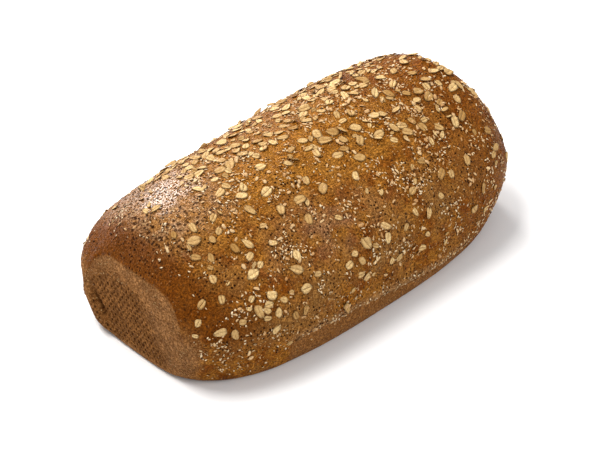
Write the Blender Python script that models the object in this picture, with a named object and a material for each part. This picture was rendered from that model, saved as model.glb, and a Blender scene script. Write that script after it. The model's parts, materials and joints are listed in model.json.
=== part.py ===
"""Seeded tin loaf: a whole-grain loaf baked in a tin, its crown covered with oat flakes.

Metres, +Z up. The loaf's length runs along X, its flat base lies on Z = 0 and the origin
is the middle of the base. The near end is the one at -X, the far end the one at +X.
"""
import math

import bmesh
import bpy
import numpy as np

# The baked loaf
LENGTH = 0.280
WIDTH = 0.1565
HEIGHT = 0.0957  # crown at mid length, without its flakes
RISE = 0.0076  # the far end stands this much higher, and the near end this much lower
TAPER = -0.024  # share by which the far end is narrower, and the near end wider

# The part of the loaf that the tin shaped
WALL = 0.038  # height at which the dough left the tin
FLARE = 0.035  # lean of the tin's wall
BASE_ROUND = 0.010  # height over which the bottom edge curls in
END_TUCK = 0.0055  # how far it curls in at the ends
SIDE_TUCK = 0.0032  # and along the sides
BASE_CORNER = 2.95  # squareness of the plan at the base: 2 is an ellipse
CORNER = 3.82  # at the top of the wall
CROWN_CORNER = 4.25  # and at the crown
FAR_CURL = 0.0035  # how far the underside of the far end curls in besides
FAR_CURL_HEIGHT = 0.040

# The dome that rose over the tin
SIDE_CURVE = 1.79  # fullness across the loaf: 2 is a half ellipse
END_CURVE = 1.50  # fullness along it
END_ROUND = 0.0327  # how far the crown's ridge stops short of each end
END_SPARE = 0.0044  # dough that each flat end pressed back
NEAR_FACE = 0.1398  # distance of the pressed near end from the origin
FAR_FACE = 0.1405
FACE_EDGE = 0.004  # rounding of the edge round a pressed end

# The flap of dough folded over at the foot of the near end
FLAP_Y = 0.034  # middle of the fold's line, which falls at 45 degrees away from the flap
FLAP_Z = 0.021
FLAP_REACH = 0.016  # half the length of the fold's line
FLAP_BULGE = 0.0030
FOLD_DEPTH = 0.0012

# The band along each long side where the dough rose over the tin's rim
LEDGE_NEAR = 0.0215  # height of the ledge towards the near end
LEDGE_FAR = 0.0100  # and towards the far end
LEDGE_FROM = -0.070
LEDGE_TO = 0.062
BAND_DEPTH = 0.0008  # how far the band lies in from the tin's wall
LEDGE_LIP = 0.0018  # how far the dough hangs out over it
LIP_HEIGHT = 0.014

# Slow swells of the dough
SWELLS = 5
SWELL_HEIGHT = 0.00035
LONGEST_SWELL = 0.130
SWELL_SEED = 35

# Mesh of the bare loaf
ROUND_POINTS = 64
WALL_RINGS = 9
DOME_RINGS = 11

# Oat flakes baked onto the crust
FLAKES = 256
FLAKE_SEED = 23
FLAKE_LONGEST = 0.0096
FLAKE_SHORTEST = 0.0064
FLAKE_NARROW = 0.57
FLAKE_BROAD = 0.76
FLAKE_SIDES = 6
FLAKE_PROUD = 0.0009  # height of a flake's rim over the crust
FLAKE_CUP = 0.0004  # how far its middle dips
FLAKE_ROOT = 0.0016  # depth of its foot under the crust
FLAKE_GAP = 0.0052  # least distance between two flakes' middles
MOST_TILT = 0.22


def smooth(low, high, value):
    """0 under low and 1 over high, with an S curve between them."""
    share = np.clip((value - low) / (high - low), 0, 1)
    return share * share * (3 - 2 * share)


def soft_limit(value, limit, radius):
    """The value, held under the limit, with the corner between the two rounded off."""
    share = np.clip(0.5 + 0.5 * (limit - value) / radius, 0, 1)
    return value * share + limit * (1 - share) - radius * share * (1 - share)


def outline(turn, corner):
    """A rounded rectangle of half sides 1, by the angle from its middle."""
    c, s = np.cos(turn), np.sin(turn)
    reach = (np.abs(c) ** corner + np.abs(s) ** corner) ** (-1 / corner)
    return c * reach, s * reach


def swell(x, y, z):
    """Uneven rising of the dough, as a few long waves in seeded directions."""
    rng = np.random.RandomState(SWELL_SEED)
    total = 0
    for n in range(SWELLS):
        heading = rng.normal(size=3)
        heading /= np.linalg.norm(heading)
        wave = 2 * math.pi * (1 + 0.45 * n) / LONGEST_SWELL
        phase = rng.uniform(0, 2 * math.pi)
        total = total + np.sin(wave * (x * heading[0] + y * heading[1] + z * heading[2]) + phase)
    return SWELL_HEIGHT * total * smooth(0, 0.03, z)


def flap(x, y, z):
    """How far the folded flap stands out of the near end, and its fold goes in."""
    past = ((y - FLAP_Y) - (z - FLAP_Z)) * math.sqrt(0.5)
    along = ((y - FLAP_Y) + (z - FLAP_Z)) * math.sqrt(0.5)
    bulge = FLAP_BULGE * smooth(-0.001, 0.004, past) * (1 - smooth(0.010, 0.024, past))
    fold = FOLD_DEPTH * np.exp(-(((past + 0.0015) / 0.002) ** 2))
    return (bulge - fold) * np.exp(-((along / FLAP_REACH) ** 4)) * (1 - smooth(-0.125, -0.110, x))


def skin(turn, climb):
    """Points on the crust.

    turn goes once round the loaf, from 0 at the far end. climb is 0 at the base's edge,
    1 at the top of the tin's wall and 2 on the ridge line of the crown.
    """
    arc = np.clip(climb - 1, 0, 1) * math.pi / 2
    up = np.sin(arc) ** (2 / SIDE_CURVE)
    across = np.cos(arc) ** (2 / SIDE_CURVE)
    along = (1 - up ** END_CURVE) ** (1 / END_CURVE)
    z = WALL * np.clip(climb, 0, 1) ** 1.5 + (HEIGHT - WALL) * up

    foot = np.clip(1 - z / BASE_ROUND, 0, 1)
    curl = 1 - np.sqrt(1 - foot**2)
    lean = FLARE * np.clip(WALL - z, 0, WALL)
    corner = BASE_CORNER + (CORNER - BASE_CORNER) * smooth(0, WALL, z) + (CROWN_CORNER - CORNER) * up**1.5
    px, py = outline(turn, corner)
    x = px * (LENGTH / 2 + END_SPARE - (END_ROUND + END_SPARE) * (1 - along) - END_TUCK * curl - lean)
    y = py * (WIDTH / 2 - SIDE_TUCK * curl - lean) * across

    part_along = x / (LENGTH / 2)
    under = FAR_CURL * smooth(0.3, 1, part_along) * np.clip(1 - z / FAR_CURL_HEIGHT, 0, 1) ** 2
    x = x - under
    y = y * (1 + TAPER * part_along - under / WIDTH)
    z = z * (1 + RISE / HEIGHT * part_along)

    lift = swell(x, y, z)
    out = np.stack([x / LENGTH**2, y / WIDTH**2, np.clip(z - WALL, 0, 1) / (2 * HEIGHT - 2 * WALL) ** 2])
    out = out / (np.linalg.norm(out, axis=0) + 1e-9)
    x, y, z = x + lift * out[0], y + lift * out[1], z + lift * out[2]

    x = soft_limit(x, FAR_FACE, FACE_EDGE)
    x = -soft_limit(-x, NEAR_FACE, FACE_EDGE)
    x = x - flap(x, y, z)

    ledge = LEDGE_NEAR + (LEDGE_FAR - LEDGE_NEAR) * smooth(LEDGE_FROM, LEDGE_TO, x)
    reach = smooth(LEDGE_FROM - 0.02, LEDGE_FROM, x) * (1 - smooth(LEDGE_TO, LEDGE_TO + 0.03, x))
    reach = reach * smooth(0.6, 0.9, np.abs(py))
    over = smooth(ledge - 0.0022, ledge + 0.0022, z)
    lip = LEDGE_LIP * over * (1 - smooth(ledge, ledge + LIP_HEIGHT, z))
    y = y + np.sign(py) * reach * (lip - BAND_DEPTH * (1 - over))
    return np.stack([x, y, z], -1)


def even_turns(count):
    """Turns that space the points of the wall's top evenly, alike on both long sides."""
    fine = np.linspace(0, math.pi, 721)
    ring = skin(fine, np.ones_like(fine))
    way = np.concatenate([[0], np.cumsum(np.linalg.norm(np.diff(ring, axis=0), axis=1))])
    half = np.interp(np.linspace(0, way[-1], count // 2 + 1), way, fine)
    return np.concatenate([half, 2 * math.pi - half[-2:0:-1]])


def bare_loaf():
    """One closed mesh: rings of the crust up to a ridge line, and strips across the base."""
    turns = even_turns(ROUND_POINTS)
    climbs = np.concatenate([np.linspace(0, 1, WALL_RINGS), 1 + np.linspace(0, 1, DOME_RINGS + 1)[1:]])
    bm = bmesh.new()
    rings = [[bm.verts.new(p) for p in skin(turns, np.full_like(turns, c))] for c in climbs[:-1]]
    ridge = [bm.verts.new(p) for p in skin(turns, np.full_like(turns, 2.0))[: ROUND_POINTS // 2 + 1]]
    rings.append(ridge + ridge[-2:0:-1])
    for lower, upper in zip(rings, rings[1:]):
        for i in range(ROUND_POINTS):
            j = (i + 1) % ROUND_POINTS
            bm.faces.new((lower[i], lower[j], upper[j], upper[i]))
    base = rings[0]
    for i in range(ROUND_POINTS // 2):
        corners = [base[i], base[-i % ROUND_POINTS], base[-i - 1], base[i + 1]]
        bm.faces.new(list(dict.fromkeys(corners)))
    bmesh.ops.recalc_face_normals(bm, faces=bm.faces)
    return bm


def flake_chance(p):
    """How likely a flake is at a point: thick on the crown, thin down the long sides, bare at the ends.

    The thick part's edge runs across the crown at a slant, and a looser cluster lies on the -Y side
    towards the near end.
    """
    x, y, z = p
    crown = smooth(0.060, 0.078, z) * smooth(-0.100, -0.062, x + 0.1 * y)
    crown = crown * smooth(-0.034, -0.010, y + 0.33 * x) * (1 - 0.6 * smooth(0.050, 0.075, y))
    crown = crown * (1 - 0.5 * smooth(0.085, 0.120, x))
    sides = 0.13 * smooth(0.018, 0.030, z) * smooth(-0.125, -0.100, x)
    cluster = 0.46 * math.exp(-(((x + 0.104) / 0.030) ** 2)) * smooth(0.034, 0.052, z)
    sides = sides + cluster * smooth(-0.008, -0.028, y + max(-0.105 - x, 0))
    patch = 0.5 + 0.5 * math.sin(62 * x + 1.3) * math.sin(75 * y + 24 * z + 0.7)
    return max(crown, sides) * (0.45 + 0.55 * patch) * (1 - smooth(0.126, 0.134, x))


def flake_seats():
    """Seats for the flakes, the largest first.

    Each is (middle, length way, width way, normal, length, width, tilts).
    """
    rng = np.random.RandomState(FLAKE_SEED)
    turn_edges = even_turns(160)
    turn_edges = np.append(turn_edges, 2 * math.pi)
    climb_edges = np.linspace(0.3, 1.97, 61)
    corners = skin(*np.meshgrid(turn_edges, climb_edges))
    sides = np.cross(corners[1:, 1:] - corners[:-1, :-1], corners[1:, :-1] - corners[:-1, 1:])
    area = np.cumsum(np.linalg.norm(sides, axis=-1).ravel())
    seats = []
    while len(seats) < FLAKES:
        row, column = divmod(int(np.searchsorted(area, rng.uniform(0, area[-1]))), len(turn_edges) - 1)
        turn = rng.uniform(turn_edges[column], turn_edges[column + 1])
        climb = rng.uniform(climb_edges[row], climb_edges[row + 1])
        chance, heading, narrow = rng.uniform(size=3)
        tilts = rng.normal(scale=MOST_TILT / 2, size=2).clip(-MOST_TILT, MOST_TILT)
        spots = skin(np.array([turn, turn + 1e-3, turn]), np.array([climb, climb, climb + 1e-3]))
        middle, ahead, above = spots
        if chance > flake_chance(middle):
            continue
        if any(np.linalg.norm(middle - seat[0]) < FLAKE_GAP for seat in seats):
            continue
        ahead = (ahead - middle) / np.linalg.norm(ahead - middle)
        normal = np.cross(ahead, above - middle)
        normal = normal / np.linalg.norm(normal)
        across = np.cross(normal, ahead)
        angle = math.pi * heading
        way = ahead * math.cos(angle) + across * math.sin(angle)
        long = FLAKE_LONGEST + (FLAKE_SHORTEST - FLAKE_LONGEST) * len(seats) / FLAKES
        broad = long * (FLAKE_NARROW + (FLAKE_BROAD - FLAKE_NARROW) * narrow)
        seats.append((middle, way, np.cross(normal, way), normal, long, broad, tilts))
    return seats


def flake_mesh(bm, seat):
    """An oval chip with a dipped middle on a foot that reaches into the crust."""
    middle, way, side, normal, long, broad, tilts = seat
    top, foot = [], []
    for k in range(FLAKE_SIDES):
        a = 2 * math.pi * (k + 0.5) / FLAKE_SIDES
        u, v = 0.5 * long * math.cos(a), 0.5 * broad * math.sin(a)
        rim = max(FLAKE_PROUD + u * tilts[0] + v * tilts[1], 0.0003)
        top.append(bm.verts.new(middle + way * u + side * v + normal * rim))
        foot.append(bm.verts.new(middle + 0.9 * (way * u + side * v) - normal * FLAKE_ROOT))
    dip = bm.verts.new(middle + normal * (FLAKE_PROUD - FLAKE_CUP))
    faces = [bm.faces.new(foot)]
    for k in range(FLAKE_SIDES):
        n = (k + 1) % FLAKE_SIDES
        faces.append(bm.faces.new((top[k], top[n], dip)))
        faces.append(bm.faces.new((foot[k], foot[n], top[n], top[k])))
    bmesh.ops.recalc_face_normals(bm, faces=faces)


def object_of(bm, name, collection):
    mesh = bpy.data.meshes.new(name)
    bm.to_mesh(mesh)
    bm.free()
    obj = bpy.data.objects.new(name, mesh)
    collection.objects.link(obj)
    return obj


def fuse_flakes(loaf, seats):
    """Joins every flake to the loaf by one Boolean union, then clears the flakes away."""
    helpers = bpy.data.collections.new("flakes")
    bpy.context.scene.collection.children.link(helpers)
    for n, seat in enumerate(seats):
        bm = bmesh.new()
        flake_mesh(bm, seat)
        object_of(bm, f"flake_{n}", helpers)
    union = loaf.modifiers.new("flakes", "BOOLEAN")
    union.operation = "UNION"
    union.operand_type = "COLLECTION"
    union.collection = helpers
    bpy.context.view_layer.update()
    fused = bpy.data.meshes.new_from_object(loaf.evaluated_get(bpy.context.evaluated_depsgraph_get()))
    loaf.modifiers.clear()
    loaf.data = fused
    fused.name = "loaf"
    for obj in list(helpers.objects):
        bpy.data.objects.remove(obj)
    bpy.data.collections.remove(helpers)


def crust_material():
    material = bpy.data.materials.new("crust")
    material.use_nodes = True
    shader = material.node_tree.nodes["Principled BSDF"]
    shader.inputs["Base Color"].default_value = (0.33, 0.15, 0.045, 1)
    shader.inputs["Roughness"].default_value = 0.5
    shader.inputs["Metallic"].default_value = 0
    return material


def main():
    for obj in list(bpy.data.objects):
        bpy.data.objects.remove(obj)
    loaf = object_of(bare_loaf(), "loaf", bpy.context.scene.collection)
    fuse_flakes(loaf, flake_seats())
    loaf.data.materials.clear()
    loaf.data.materials.append(crust_material())
    loaf.data.shade_smooth()
    loaf.data.set_sharp_from_angle(angle=math.radians(35))
    print(f"loaf: {sum(len(p.vertices) - 2 for p in loaf.data.polygons)} triangles")


main()
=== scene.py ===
# %% [markdown]
# # A seeded tin loaf
#
# A whole-grain loaf, baked in a tin and covered with oat flakes, bran and small seeds before it was baked.
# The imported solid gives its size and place. This lesson dresses it: first a fine crust with the same form,
# then each topping as real mesh, then the finishes, and last a pale floor, soft light and a camera.

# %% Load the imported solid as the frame
import json
import math

import bmesh
import bpy
import numpy as np
from mathutils import Matrix, Vector, noise

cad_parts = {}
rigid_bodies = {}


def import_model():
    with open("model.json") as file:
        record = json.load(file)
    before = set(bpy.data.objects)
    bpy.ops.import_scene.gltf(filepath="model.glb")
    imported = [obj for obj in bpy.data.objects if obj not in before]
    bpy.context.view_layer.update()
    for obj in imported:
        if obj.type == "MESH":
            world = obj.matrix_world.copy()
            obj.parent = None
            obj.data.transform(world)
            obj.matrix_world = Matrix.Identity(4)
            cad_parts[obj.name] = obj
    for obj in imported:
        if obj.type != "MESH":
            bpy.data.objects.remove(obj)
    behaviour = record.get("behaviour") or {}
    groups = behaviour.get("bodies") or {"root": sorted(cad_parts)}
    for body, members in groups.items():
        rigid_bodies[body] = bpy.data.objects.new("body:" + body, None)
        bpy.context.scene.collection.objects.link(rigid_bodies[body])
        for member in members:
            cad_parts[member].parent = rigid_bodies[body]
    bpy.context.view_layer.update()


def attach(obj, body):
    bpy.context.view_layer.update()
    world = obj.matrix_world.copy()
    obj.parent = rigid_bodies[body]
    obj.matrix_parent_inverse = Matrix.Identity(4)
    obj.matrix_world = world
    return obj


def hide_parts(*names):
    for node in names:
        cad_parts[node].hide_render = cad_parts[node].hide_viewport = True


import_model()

# %% [markdown]
# ## The sizes of the loaf
#
# These are the sizes that the solid was made from. The crust is worked out from them again, on a much finer
# mesh, so that pits and small dimples can be real relief. The form is the same, so it stays where the solid
# is.

# %% Sizes of the bare loaf
LENGTH = 0.280
WIDTH = 0.1565
HEIGHT = 0.0957
RISE = 0.0076
TAPER = -0.024

WALL = 0.038
FLARE = 0.035
BASE_ROUND = 0.010
END_TUCK = 0.0055
SIDE_TUCK = 0.0032
BASE_CORNER = 2.95
CORNER = 3.82
CROWN_CORNER = 4.25
FAR_CURL = 0.0035
FAR_CURL_HEIGHT = 0.040

SIDE_CURVE = 1.79
END_CURVE = 1.50
END_ROUND = 0.0327
END_SPARE = 0.0044
NEAR_FACE = 0.1398
FAR_FACE = 0.1405
FACE_EDGE = 0.004

FLAP_Y = 0.034
FLAP_Z = 0.021
FLAP_REACH = 0.016
FLAP_BULGE = 0.0030
FOLD_DEPTH = 0.0012

LEDGE_NEAR = 0.0215
LEDGE_FAR = 0.0100
LEDGE_FROM = -0.070
LEDGE_TO = 0.062
BAND_DEPTH = 0.0008
LEDGE_LIP = 0.0018
LIP_HEIGHT = 0.014

SWELLS = 5
SWELL_HEIGHT = 0.00035
LONGEST_SWELL = 0.130
SWELL_SEED = 35

# %% [markdown]
# ## The form of the crust
#
# A tin loaf has two parts. Below, the tin shaped it: a rounded rectangle that leans out a little as it
# rises. Above, the dough rose freely into a dome. Both are one function of two numbers here: how far round
# the loaf, and how far up. Level curves like these keep the mesh even, and leave no pole on the crown.


# %% The crust as a function of turn and climb
def smooth(low, high, value):
    """0 under low and 1 over high, with an S curve between them."""
    share = np.clip((value - low) / (high - low), 0, 1)
    return share * share * (3 - 2 * share)


def soft_limit(value, limit, radius):
    """The value, held under the limit, with the corner between the two rounded off."""
    share = np.clip(0.5 + 0.5 * (limit - value) / radius, 0, 1)
    return value * share + limit * (1 - share) - radius * share * (1 - share)


def hill(value, middle, width, power=2):
    """1 at the middle, falling off on both sides like a bell."""
    return np.exp(-(((value - middle) / width) ** power))


def outline(turn, corner):
    """A rounded rectangle of half sides 1, by the angle from its middle."""
    c, s = np.cos(turn), np.sin(turn)
    reach = (np.abs(c) ** corner + np.abs(s) ** corner) ** (-1 / corner)
    return c * reach, s * reach


def swell(x, y, z):
    """Uneven rising of the dough, as a few long waves in seeded directions."""
    rng = np.random.RandomState(SWELL_SEED)
    total = 0
    for n in range(SWELLS):
        heading = rng.normal(size=3)
        heading /= np.linalg.norm(heading)
        wave = 2 * math.pi * (1 + 0.45 * n) / LONGEST_SWELL
        phase = rng.uniform(0, 2 * math.pi)
        total = total + np.sin(wave * (x * heading[0] + y * heading[1] + z * heading[2]) + phase)
    return SWELL_HEIGHT * total * smooth(0, 0.03, z)


def flap(x, y, z):
    """How far the folded flap stands out of the near end, and its fold goes in."""
    past = ((y - FLAP_Y) - (z - FLAP_Z)) * math.sqrt(0.5)
    along = ((y - FLAP_Y) + (z - FLAP_Z)) * math.sqrt(0.5)
    bulge = FLAP_BULGE * smooth(-0.001, 0.004, past) * (1 - smooth(0.010, 0.024, past))
    fold = FOLD_DEPTH * hill(past, -0.0015, 0.002)
    return (bulge - fold) * hill(along, 0, FLAP_REACH, 4) * (1 - smooth(-0.125, -0.110, x))


def ledge_at(x):
    """Height of the ledge at x, and how fully it is there."""
    height = LEDGE_NEAR + (LEDGE_FAR - LEDGE_NEAR) * smooth(LEDGE_FROM, LEDGE_TO, x)
    reach = smooth(LEDGE_FROM - 0.02, LEDGE_FROM, x) * (1 - smooth(LEDGE_TO, LEDGE_TO + 0.03, x))
    return height, reach


def skin(turn, climb):
    """Points on the crust. turn goes once round from the far end; climb is 0 at the base's edge,
    1 at the top of the tin's wall and 2 on the ridge line of the crown."""
    arc = np.clip(climb - 1, 0, 1) * math.pi / 2
    up = np.sin(arc) ** (2 / SIDE_CURVE)
    across = np.cos(arc) ** (2 / SIDE_CURVE)
    along = (1 - up**END_CURVE) ** (1 / END_CURVE)
    z = WALL * np.clip(climb, 0, 1) ** 1.5 + (HEIGHT - WALL) * up

    foot = np.clip(1 - z / BASE_ROUND, 0, 1)
    curl = 1 - np.sqrt(1 - foot**2)
    lean = FLARE * np.clip(WALL - z, 0, WALL)
    corner = BASE_CORNER + (CORNER - BASE_CORNER) * smooth(0, WALL, z)
    corner = corner + (CROWN_CORNER - CORNER) * up**1.5
    px, py = outline(turn, corner)
    x = px * (LENGTH / 2 + END_SPARE - (END_ROUND + END_SPARE) * (1 - along) - END_TUCK * curl - lean)
    y = py * (WIDTH / 2 - SIDE_TUCK * curl - lean) * across

    part_along = x / (LENGTH / 2)
    under = FAR_CURL * smooth(0.3, 1, part_along) * np.clip(1 - z / FAR_CURL_HEIGHT, 0, 1) ** 2
    x = x - under
    y = y * (1 + TAPER * part_along - under / WIDTH)
    z = z * (1 + RISE / HEIGHT * part_along)

    lift = swell(x, y, z)
    out = np.stack([x / LENGTH**2, y / WIDTH**2, np.clip(z - WALL, 0, 1) / (2 * HEIGHT - 2 * WALL) ** 2])
    out = out / (np.linalg.norm(out, axis=0) + 1e-9)
    x, y, z = x + lift * out[0], y + lift * out[1], z + lift * out[2]

    x = soft_limit(x, FAR_FACE, FACE_EDGE)
    x = -soft_limit(-x, NEAR_FACE, FACE_EDGE)
    x = x - flap(x, y, z)

    ledge, reach = ledge_at(x)
    reach = reach * smooth(0.6, 0.9, np.abs(py))
    over = smooth(ledge - 0.0022, ledge + 0.0022, z)
    lip = LEDGE_LIP * over * (1 - smooth(ledge, ledge + LIP_HEIGHT, z))
    y = y + np.sign(py) * reach * (lip - BAND_DEPTH * (1 - over))
    return np.stack([x, y, z], -1)


def even_turns(count, closer_at_ends=0.0):
    """Turns that space the points of the wall's top evenly, or closer together round the two ends."""
    fine = np.linspace(0, math.pi, 721)
    ring = skin(fine, np.ones_like(fine))
    steps = np.linalg.norm(np.diff(ring, axis=0), axis=1)
    middles = (ring[1:] + ring[:-1]) / 2
    steps = steps * (1 + closer_at_ends * smooth(0.118, 0.134, np.abs(middles[:, 0])))
    way = np.concatenate([[0], np.cumsum(steps)])
    half = np.interp(np.linspace(0, way[-1], count // 2 + 1), way, fine)
    return np.concatenate([half, 2 * math.pi - half[-2:0:-1]])


# %% [markdown]
# ## A fine mesh for the crust
#
# Rings of points climb the wall and the dome. The last ring folds onto the ridge line, and strips close the
# base. The points stand closer together round the ends, because the perforated tin left small pits there.


# %% Rings, ridge and base
CRUST_COLUMNS = 640
CRUST_WALL_RINGS = 58
CRUST_DOME_RINGS = 80


def ringed_mesh(name, turns, climbs):
    """A closed mesh of the loaf's form, ring over ring."""
    count = len(turns)
    rings = [skin(turns, np.full_like(turns, c)) for c in climbs[:-1]]
    ridge = skin(turns, np.full_like(turns, 2.0))[: count // 2 + 1]
    points = np.concatenate(rings + [ridge])
    around = np.arange(count)
    after = (around + 1) % count
    faces = []
    for n in range(len(rings) - 1):
        low, high = n * count, (n + 1) * count
        faces += np.stack([low + around, low + after, high + after, high + around], -1).tolist()
    start = (len(rings) - 1) * count
    top = len(rings) * count + np.minimum(around, count - around)
    top_after = len(rings) * count + np.minimum(after, count - after)
    faces += np.stack([start + around, start + after, top_after, top], -1).tolist()
    for i in range(count // 2):
        faces.append(list(dict.fromkeys([i, (-i) % count, (-i - 1) % count, i + 1])))
    mesh = bpy.data.meshes.new(name)
    mesh.from_pydata(points.tolist(), [], faces)
    mesh.update()
    return mesh


def new_piece(name, data):
    piece = bpy.data.objects.new(name, data)
    bpy.context.scene.collection.objects.link(piece)
    return piece


def vectors_of(items, name):
    """One vector of each item, as rows of an array."""
    flat = np.empty(len(items) * 3, np.float32)
    items.foreach_get(name, flat)
    return flat.reshape(-1, 3).astype(float)


def keep_on_points(mesh, name, values):
    mesh.attributes.new(name, "FLOAT", "POINT").data.foreach_set("value", values.astype(np.float32))


def climbs_for(wall_rings, dome_rings):
    """Climbs that space the wall's rings evenly in height, and the dome's evenly in angle."""
    wall = np.linspace(0, 1, wall_rings) ** (2 / 3)
    return np.concatenate([wall, 1 + np.linspace(0, 1, dome_rings + 1)[1:]])


crust_turns = even_turns(CRUST_COLUMNS, closer_at_ends=1.0)
crust_mesh = ringed_mesh("crust", crust_turns, climbs_for(CRUST_WALL_RINGS, CRUST_DOME_RINGS))
print("crust:", len(crust_mesh.vertices), "points,", len(crust_mesh.polygons), "faces")

# %% [markdown]
# ## Where the dough met the tin
#
# The tin left its marks on the crust. Its perforated ends pressed the dough flat and covered it with small
# pits, and a smooth band runs low along each side, under a ledge where dough spread over the tin's seam. A
# fold of dough lies low on the near end. Each mark is a mask, a number from 0 to 1 at every point of the
# mesh. The masks steer both the relief and the colours, so they are kept on the mesh, where the material
# can read them.

# %% Masks for the marks of the tin
RIDGE_HEIGHT = 0.060
RIDGE_HALF_WIDTH = 0.0485
RIDGE_EDGE = 0.0012
END_ZONE = 0.126


def noise_at(points, size, detail=0, start=(0, 0, 0)):
    """Smooth noise between about -1 and 1, with features of the given size."""
    shift = Vector(start)
    if detail:
        values = [noise.fractal(Vector(p) / size + shift, 0.9, 2.0, detail) for p in points.tolist()]
        return np.array(values)
    return np.array([noise.noise(Vector(p) / size + shift) for p in points.tolist()])


def ridge_over(points):
    """How far under the ridge that ends the perforated plate's mark each point is, in metres."""
    side = np.clip(np.abs(points[:, 1]) / RIDGE_HALF_WIDTH, 0, 1)
    return RIDGE_HEIGHT * (1 - side**5) ** 0.45 - points[:, 2]


def end_zone(points):
    return smooth(END_ZONE, END_ZONE + 0.004, np.abs(points[:, 0]))


def pressed_mask(points):
    """1 on the flat ends, with a crisp edge along the top and a soft one down the corners."""
    out, side = np.abs(points[:, 0]), np.abs(points[:, 1])
    top = smooth(-RIDGE_EDGE, RIDGE_EDGE, ridge_over(points))
    round_corner = smooth(0.1290, 0.1365, out) * (1 - smooth(0.050, 0.064, side))
    round_corner = round_corner * (1 - smooth(0.030, 0.052, points[:, 2]))
    return end_zone(points) * np.maximum(top * (1 - 0.4 * smooth(0.030, 0.052, side)), round_corner)


def ledge_masks(points):
    """The smooth band under the ledge, and the lip over it, which the crust's finish paints paler as a
    highlight.
    """
    ledge, reach = ledge_at(points[:, 0])
    side = smooth(0.058, 0.068, np.abs(points[:, 1])) * reach
    above = points[:, 2] - ledge
    below = 1 - smooth(-0.0018, 0.0006, above)
    lip = smooth(-0.0004, 0.0012, above) * (1 - smooth(0.002, 0.008, above))
    return smooth(0.35, 0.75, side) * below, side * lip


def fold_mask(points):
    """The crease over the folded flap on the near end."""
    y, z = points[:, 1] - FLAP_Y, points[:, 2] - FLAP_Z
    past, along = (y - z) * math.sqrt(0.5), (y + z) * math.sqrt(0.5)
    return hill(past, -0.0012, 0.0010) * hill(along, 0, 0.0085, 4) * (points[:, 0] < -0.12)


crust_points = vectors_of(crust_mesh.vertices, "co")
crust_normals = vectors_of(crust_mesh.vertex_normals, "vector")
pressed = pressed_mask(crust_points)
band, lip = ledge_masks(crust_points)
fold = fold_mask(crust_points)
under_ridge = ridge_over(crust_points)
cx, cy, cz = crust_points.T
pit_zone = end_zone(crust_points) * smooth(0.002, 0.016, under_ridge) * smooth(0.003, 0.006, cz)
pit_zone = pit_zone * (1 - smooth(0.036, 0.048, np.abs(cy))) * smooth(-0.042, -0.024, cy - 0.5 * cz)
print("pressed points:", int((pressed > 0.5).sum()), "band points:", int((band > 0.5).sum()))

# %% [markdown]
# The oven left marks too. A dark shoulder runs over each pressed end, and it dips into a toasted patch low
# on both corners by the near end. Flour dulls a patch under the crown and the far end's lower half.

# %% Masks for the shoulder and the dust
shoulder = smooth(-0.112, -0.128, cx) + smooth(0.118, 0.132, cx)
shoulder = shoulder * smooth(0.030, 0.050, cz) * (1 - smooth(0.074, 0.086, cz)) * (1 - pressed)
toasted_corner = hill(cx, -0.113, 0.017) * hill(cz, 0.045, 0.017)
shoulder = np.clip(shoulder + 0.9 * toasted_corner, 0, 1) * (1 - 0.8 * pressed)
dusty = 0.9 * hill(cx, -0.035, 0.040) * hill(cz, 0.071, 0.011)
dusty = dusty + 0.8 * smooth(0.106, 0.126, cx) * (1 - smooth(0.060, 0.074, cz))
dusty = np.clip(dusty, 0, 1) * smooth(-0.45, 0.25, noise_at(crust_points, 0.014, 2, (4, 6, 2)))
print("dusty points:", int((dusty > 0.5).sum()), "shoulder points:", int((shoulder > 0.5).sum()))

# %% [markdown]
# ## Relief of the crust
#
# Free crust is uneven at every size: slow dimples of a centimetre and grains of a few millimetres. The
# pressed ends and the band are smoother. The pits stand in staggered rows, and their depth is the product
# of two cosines, which puts a pit at every other crossing of the rows.

# %% Move the points along their normals
PIT_ACROSS = 0.0039
PIT_UP = 0.00603
PIT_DEPTH = 0.00050
FREE_BROAD = 0.00034
FREE_FINE = 0.00022
FOLD_CUT = 0.0012
RIDGE_STEP = 0.0006


def pits(points):
    """Staggered rows of round pits, 1 in their middles."""
    a = np.cos(2 * math.pi * points[:, 1] / PIT_ACROSS)
    b = np.cos(2 * math.pi * points[:, 2] / PIT_UP)
    return smooth(0.25, 0.95, a * b)


broad_noise = noise_at(crust_points, 0.011, 2)
fine_noise = noise_at(crust_points, 0.0032, 2, (7, 3, 1))
free = (1 - 0.7 * pressed) * (1 - 0.75 * band) * smooth(0, 0.006, cz)
relief = free * (FREE_BROAD * broad_noise + FREE_FINE * fine_noise)
relief = relief - PIT_DEPTH * pits(crust_points) * pit_zone - FOLD_CUT * fold
over_ridge = (1 - smooth(-RIDGE_EDGE, RIDGE_EDGE, under_ridge)) * (1 - smooth(0.002, 0.012, -under_ridge))
relief = relief + RIDGE_STEP * over_ridge * end_zone(crust_points)
crust_points = crust_points + crust_normals * relief[:, None]
crust_mesh.vertices.foreach_set("co", crust_points.astype(np.float32).ravel())
marks = {
    "pressed": pressed,
    "band": band,
    "lip": lip,
    "fold": fold,
    "pit_zone": pit_zone,
    "shoulder": shoulder,
    "dusty": dusty,
}
for name, values in marks.items():
    keep_on_points(crust_mesh, name, values)
crust_mesh.shade_smooth()
crust_mesh.update()
crust = new_piece("crust", crust_mesh)
print("deepest relief, mm:", round(float(relief.min()) * 1000, 2))

# %% [markdown]
# ## Seats for the oat flakes
#
# The flakes are the largest topping, and the solid carries the same ones. Each has a seat: a place on the
# crust, the way that it points and its size. The seats are drawn at random from a seeded generator, largest
# flake first, and a seat is kept or dropped by how thick the flakes lie there. Smaller ones are then added.

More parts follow.
